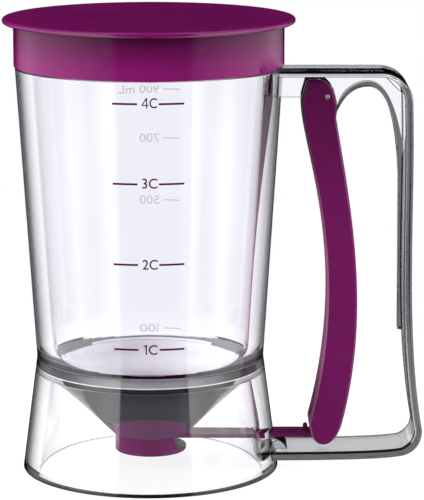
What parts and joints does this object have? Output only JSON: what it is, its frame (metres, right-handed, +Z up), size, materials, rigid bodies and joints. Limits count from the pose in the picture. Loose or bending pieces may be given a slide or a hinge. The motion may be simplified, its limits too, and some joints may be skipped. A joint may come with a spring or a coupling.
{
  "type": "batter dispenser",
  "caption": "Clear tapered jug on a flared stand, with a funnel outlet, a slide valve worked by a squeeze lever in a D-shaped handle, and a push-on lid.",
  "frame": {"origin": "centre of the foot ring, on the surface that the part stands on", "axes": "+Z up along the jug's axis, +X towards the handle, -Y towards the side with the cup marks"},
  "size_m": [0.1743, 0.1208, 0.19],
  "materials": {
    "purple_plastic": "polished moulding",
    "clear_plastic": "clear polished styrene",
    "smoke_plastic": "smoke-tinted polished styrene",
    "silicone": "matt silicone",
    "steel": "bright wire and pin stock"
  },
  "bodies": {
    "jug": {"container": "clear_plastic", "base_skirt": "clear_plastic", "funnel": "smoke_plastic", "outlet_seal": "silicone", "nozzle_cap": "purple_plastic", "handle_frame": "clear_plastic", "return_spring": "steel"},
    "lid": {"lid": "purple_plastic"},
    "lever": {"lever": "purple_plastic", "lever_pin": "steel"},
    "valve": {"valve_slide": "purple_plastic"}
  },
  "joints": [
    {"name": "lever_swing", "type": "hinge", "parent": "jug", "child": "lever", "pos_m": [0.0733, 0, 0.158], "axis": [0, -1, 0], "range_deg": [0, 6.5], "stiffness_Nm_per_rad": 0.3, "springref_deg": -34.38, "deforming": ["return_spring"]},
    {"name": "valve_travel", "type": "slide", "parent": "jug", "child": "valve", "axis": [1, 0, 0], "range_m": [0, 0.0166]},
    {"name": "lid_lift", "type": "slide", "parent": "jug", "child": "lid", "axis": [0, 0, 1], "range_m": [0, 0.06]}
  ],
  "couplings": [
    {"joint": "valve_travel", "follows": "lever_swing", "m_per_rad": 0.144}
  ]
}
